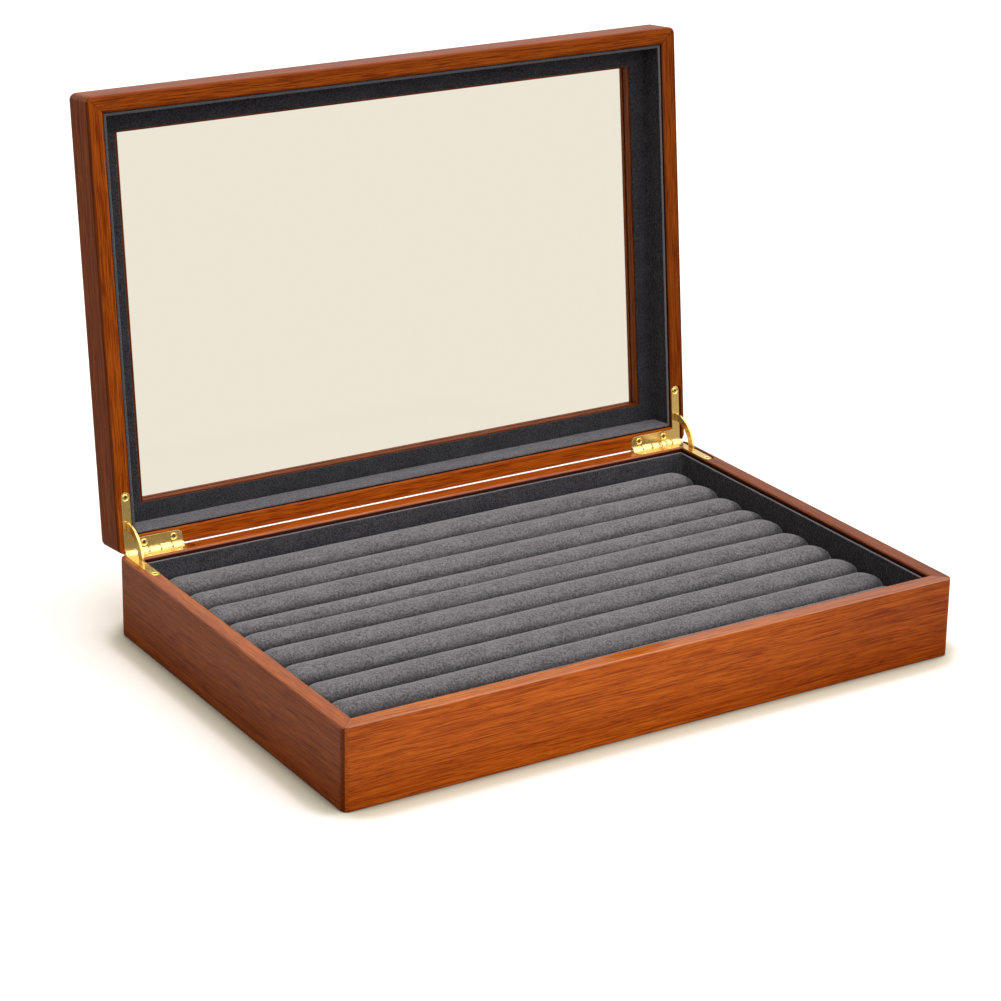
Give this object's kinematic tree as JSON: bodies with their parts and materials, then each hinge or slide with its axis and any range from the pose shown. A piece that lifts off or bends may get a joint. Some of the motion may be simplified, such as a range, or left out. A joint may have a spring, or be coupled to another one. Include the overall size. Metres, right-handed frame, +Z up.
{
  "type": "ring display box",
  "caption": "Flat hinged wooden box with a velvet tray of padded ring rolls and a glazed lid that stands open on curved quadrant stays.",
  "frame": {"origin": "centre of the box's underside, on the face it stands on", "axes": "+X to the right seen from the front, +Y to the back where the hinges are, +Z up"},
  "size_m": [0.3, 0.2395, 0.2354],
  "materials": {
    "case_wood": "orange-brown stain under satin lacquer",
    "bottom_board": "plain board",
    "bed_board": "plain board",
    "roll_velvet": "grey short-pile velvet over a padded core",
    "lining_velvet": "charcoal short-pile velvet on card",
    "brass": "polished",
    "window_glass": "clear"
  },
  "bodies": {
    "base": {"base_wall_front": "case_wood", "base_wall_right": "case_wood", "base_wall_back": "case_wood", "base_wall_left": "case_wood", "base_lining_front": "lining_velvet", "base_lining_right": "lining_velvet", "base_lining_back": "lining_velvet", "base_lining_left": "lining_velvet", "bottom_panel": "bottom_board", "roll_bed": "bed_board", "ring_roll_1": "roll_velvet", "ring_roll_2": "roll_velvet", "ring_roll_3": "roll_velvet", "ring_roll_4": "roll_velvet", "ring_roll_5": "roll_velvet", "ring_roll_6": "roll_velvet", "ring_roll_7": "roll_velvet", "ring_roll_8": "roll_velvet", "ring_roll_9": "roll_velvet", "ring_roll_10": "roll_velvet", "base_leaf_left": "brass", "base_leaf_right": "brass", "hinge_pin_left": "brass", "hinge_pin_right": "brass", "base_screw_left_1": "brass", "base_screw_left_2": "brass", "base_screw_left_3": "brass", "base_screw_right_1": "brass", "base_screw_right_2": "brass", "base_screw_right_3": "brass"},
    "lid": {"lid_rail_front": "case_wood", "lid_rail_right": "case_wood", "lid_rail_back": "case_wood", "lid_rail_left": "case_wood", "window_frame_front": "case_wood", "window_frame_right": "case_wood", "window_frame_back": "case_wood", "window_frame_left": "case_wood", "glazing_bead_front": "case_wood", "glazing_bead_right": "case_wood", "glazing_bead_back": "case_wood", "glazing_bead_left": "case_wood", "lid_lining_front": "lining_velvet", "lid_lining_right": "lining_velvet", "lid_lining_back": "lining_velvet", "lid_lining_left": "lining_velvet", "window_glass": "window_glass", "lid_border": "lining_velvet", "lid_leaf_left": "brass", "lid_leaf_right": "brass", "lid_screw_left_1": "brass", "lid_screw_left_2": "brass", "lid_screw_left_3": "brass", "lid_screw_right_1": "brass", "lid_screw_right_2": "brass", "lid_screw_right_3": "brass"},
    "stay_left": {"hinge_stay_left": "brass"},
    "stay_right": {"hinge_stay_right": "brass"}
  },
  "joints": [
    {"name": "lid_hinge", "type": "hinge", "parent": "base", "child": "lid", "pos_m": [0, 0.1002, 0.0363], "axis": [1, 0, 0], "range_deg": [0, 95.8]},
    {"name": "stay_slide_left", "type": "hinge", "parent": "base", "child": "stay_left", "pos_m": [-0.145, 0.1002, 0.0363], "axis": [1, 0, 0], "range_deg": [0, 47.9]},
    {"name": "stay_slide_right", "type": "hinge", "parent": "base", "child": "stay_right", "pos_m": [0.145, 0.1002, 0.0363], "axis": [1, 0, 0], "range_deg": [0, 47.9]}
  ],
  "couplings": [
    {"joint": "stay_slide_left", "follows": "lid_hinge", "ratio": 0.5},
    {"joint": "stay_slide_right", "follows": "lid_hinge", "ratio": 0.5}
  ]
}
